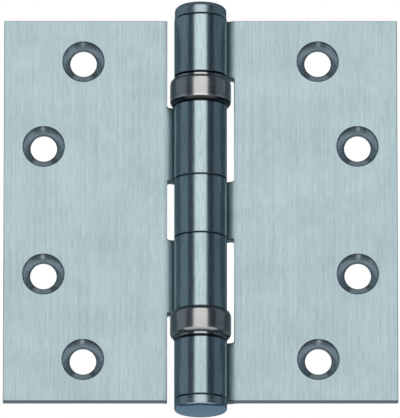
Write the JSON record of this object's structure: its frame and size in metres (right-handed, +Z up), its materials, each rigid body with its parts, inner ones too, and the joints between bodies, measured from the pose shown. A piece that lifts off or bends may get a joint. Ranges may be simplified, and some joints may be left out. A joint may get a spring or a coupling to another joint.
{
  "type": "ball bearing hinge",
  "caption": "Full-mortise butt hinge: square leaves with countersunk screw holes, rolled knuckles on a button-headed pin, and exposed ball bearings between knuckles.",
  "frame": {"origin": "on the pin's axis at the leaves' mid-height, which is also the centre of the box round the open hinge", "axes": "+Z up the pin to its button head, +X to the three-knuckle frame leaf, -Y the way that the countersunk faces look when the hinge lies open and flat"},
  "size_m": [0.1142, 0.0176, 0.1219],
  "materials": {
    "leaf_steel": "satin stainless, brushed along the height",
    "pin_steel": "satin stainless, turned",
    "case_steel": "satin steel, turned",
    "race_steel": "ground bearing steel",
    "ball_steel": "polished bearing steel"
  },
  "bodies": {
    "frame_side": {"frame_leaf": "leaf_steel", "hinge_pin": "pin_steel", "bottom_plug": "pin_steel", "upper_cover_race": "race_steel", "lower_cover_race": "race_steel"},
    "door_side": {"door_leaf": "leaf_steel", "upper_bearing_case": "case_steel", "lower_bearing_case": "case_steel"},
    "upper_balls": {"upper_ball_01": "ball_steel", "upper_ball_02": "ball_steel", "upper_ball_03": "ball_steel", "upper_ball_04": "ball_steel", "upper_ball_05": "ball_steel", "upper_ball_06": "ball_steel", "upper_ball_07": "ball_steel", "upper_ball_08": "ball_steel", "upper_ball_09": "ball_steel", "upper_ball_10": "ball_steel"},
    "lower_balls": {"lower_ball_01": "ball_steel", "lower_ball_02": "ball_steel", "lower_ball_03": "ball_steel", "lower_ball_04": "ball_steel", "lower_ball_05": "ball_steel", "lower_ball_06": "ball_steel", "lower_ball_07": "ball_steel", "lower_ball_08": "ball_steel", "lower_ball_09": "ball_steel", "lower_ball_10": "ball_steel"}
  },
  "joints": [
    {"name": "leaf_swing", "type": "hinge", "parent": "frame_side", "child": "door_side", "pos_m": [0, 0, 0], "axis": [0, 0, 1], "range_deg": [-120, 180]},
    {"name": "upper_ball_orbit", "type": "hinge", "parent": "frame_side", "child": "upper_balls", "pos_m": [0, 0, 0], "axis": [0, 0, 1], "range_deg": [-60, 90]},
    {"name": "lower_ball_orbit", "type": "hinge", "parent": "frame_side", "child": "lower_balls", "pos_m": [0, 0, 0], "axis": [0, 0, 1], "range_deg": [-60, 90]}
  ],
  "couplings": [
    {"joint": "upper_ball_orbit", "follows": "leaf_swing", "ratio": 0.5},
    {"joint": "lower_ball_orbit", "follows": "leaf_swing", "ratio": 0.5}
  ]
}
